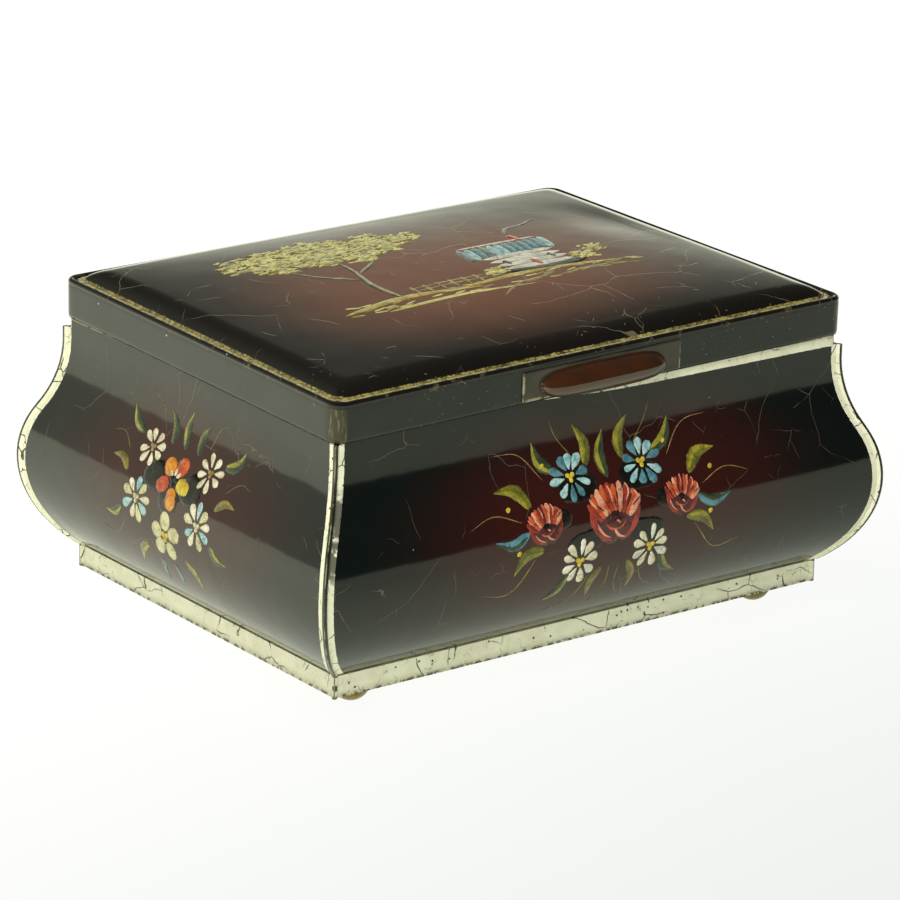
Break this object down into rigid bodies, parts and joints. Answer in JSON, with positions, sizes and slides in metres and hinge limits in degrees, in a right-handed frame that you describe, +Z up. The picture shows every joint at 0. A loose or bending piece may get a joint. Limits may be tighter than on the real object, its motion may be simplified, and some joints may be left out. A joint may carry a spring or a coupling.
{
  "type": "hinged bombe biscuit tin",
  "caption": "Hinged rectangular biscuit tin with bombe sides, a pillow-topped lid with a thumb lift, a plinth and small ball feet.",
  "frame": {"origin": "on the ground, under the middle of the tin", "axes": "+X along the long sides, -Y towards the thumb lift, +Z up"},
  "size_m": [0.222, 0.173, 0.1118],
  "materials": {
    "body_lacquer": "aged gloss lacquer, maroon shaded to black-green, ivory borders and painted flowers",
    "lid_lacquer": "aged gloss lacquer, red-brown shaded to black, gold line and painted landscape",
    "lift_lacquer": "gloss copper-brown lacquer",
    "foot_gold": "worn gold lacquer",
    "gold_tinplate": "gold-lacquered tinplate",
    "hinge_steel": "darkened steel"
  },
  "bodies": {
    "tin_body": {"front_panel": "body_lacquer", "back_panel": "body_lacquer", "left_end_panel": "body_lacquer", "right_end_panel": "body_lacquer", "base_plate": "gold_tinplate", "neck_collar": "gold_tinplate", "foot_front_left": "foot_gold", "foot_front_right": "foot_gold", "foot_back_left": "foot_gold", "foot_back_right": "foot_gold", "body_hinge_leaf_left": "hinge_steel", "body_hinge_leaf_right": "hinge_steel", "hinge_pin_left": "hinge_steel", "hinge_pin_right": "hinge_steel"},
    "lid": {"lid_shell": "lid_lacquer", "thumb_lift": "lift_lacquer", "lid_hinge_leaf_left": "hinge_steel", "lid_hinge_leaf_right": "hinge_steel"}
  },
  "joints": [
    {"name": "lid_hinge", "type": "hinge", "parent": "tin_body", "child": "lid", "pos_m": [0, 0.07725, 0.09066], "axis": [-1, 0, 0], "range_deg": [0, 105]}
  ]
}
